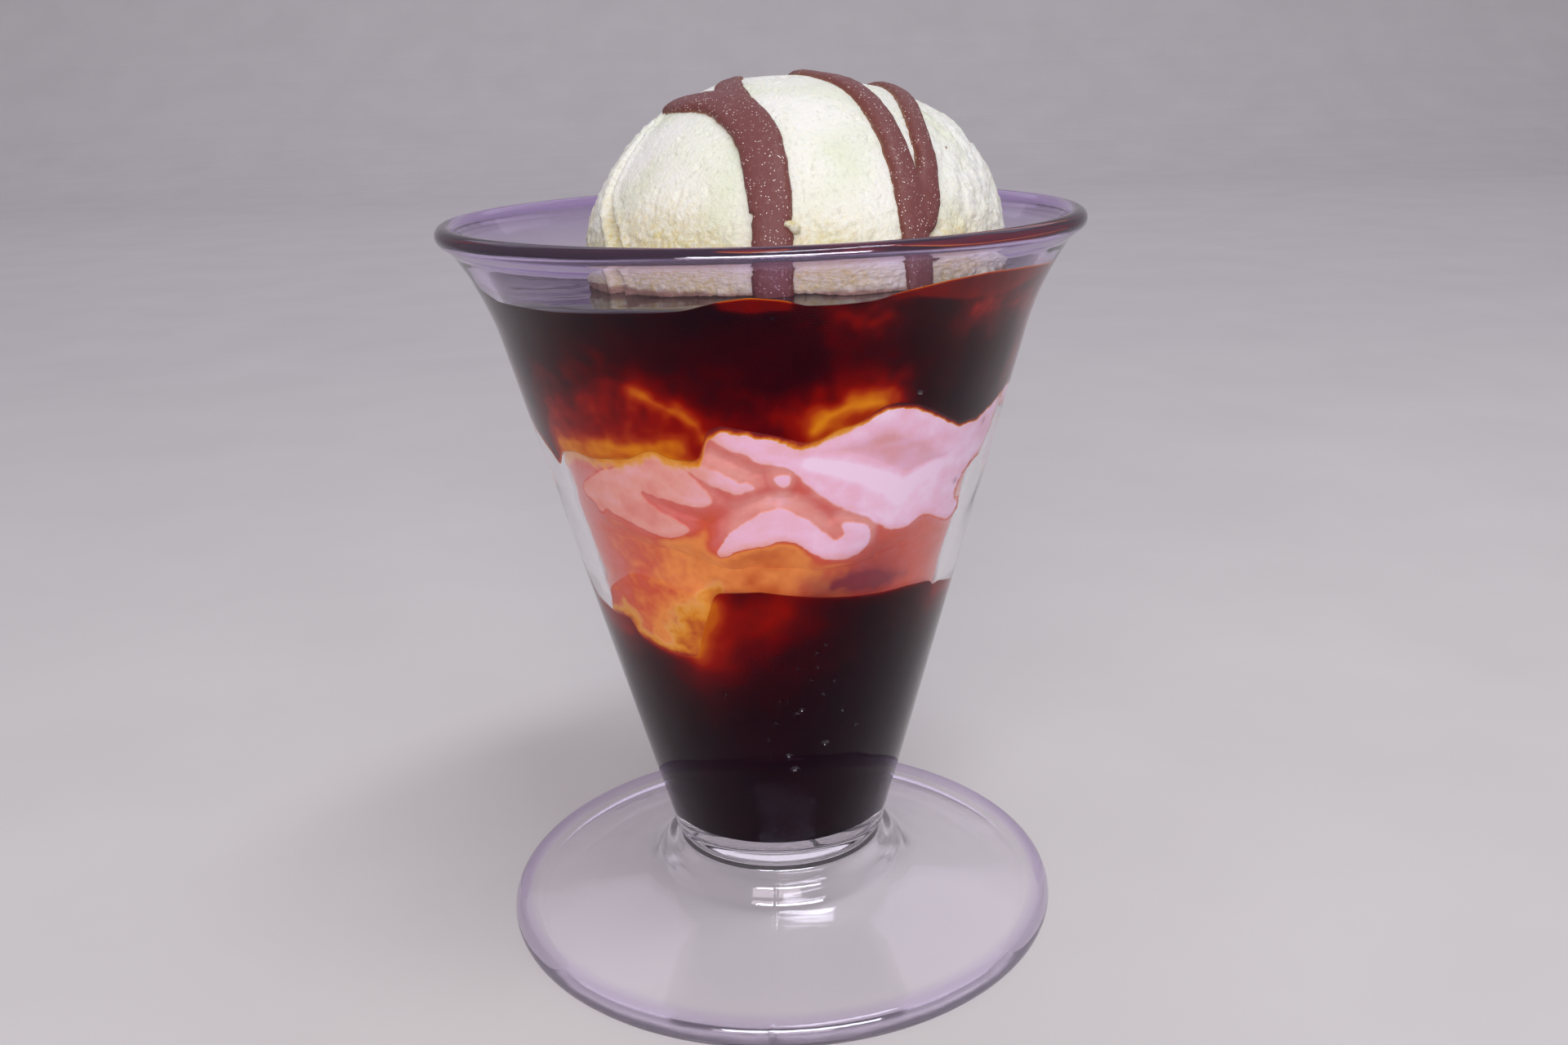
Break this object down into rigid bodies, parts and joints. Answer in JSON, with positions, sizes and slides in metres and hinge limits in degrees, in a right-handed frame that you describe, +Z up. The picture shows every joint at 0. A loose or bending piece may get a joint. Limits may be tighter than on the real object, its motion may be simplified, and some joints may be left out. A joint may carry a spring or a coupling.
{
  "type": "coffee jelly parfait",
  "caption": "Footed flared glass of coffee jelly, stained and whipped cream and more jelly, topped by a scoop of vanilla ice cream with ribbons of chocolate sauce.",
  "frame": {"origin": "on the glass's axis, in the plane it stands on", "axes": "+Z up the glass's axis, the side the picture shows faces -Y, +X to its right"},
  "size_m": [0.096, 0.096, 0.1349],
  "materials": {
    "glass": "clear pressed soda-lime glass, fire-polished, faint lilac in its thick edges",
    "coffee_jelly": "wet black-brown jelly, amber to dark red where thin",
    "stained_cream": "satin tan, cream mixed with coffee",
    "whipped_cream": "satin, smeared, pale",
    "ice_cream": "frosty vanilla, grainy where it melts",
    "chocolate_sauce": "satin set chocolate sauce, frosted by the cold"
  },
  "bodies": {
    "root": {"glass": "glass", "coffee_jelly_lower": "coffee_jelly", "stained_cream": "stained_cream", "whipped_cream": "whipped_cream", "coffee_jelly_upper": "coffee_jelly", "ice_cream": "ice_cream"}
  },
  "joints": []
}
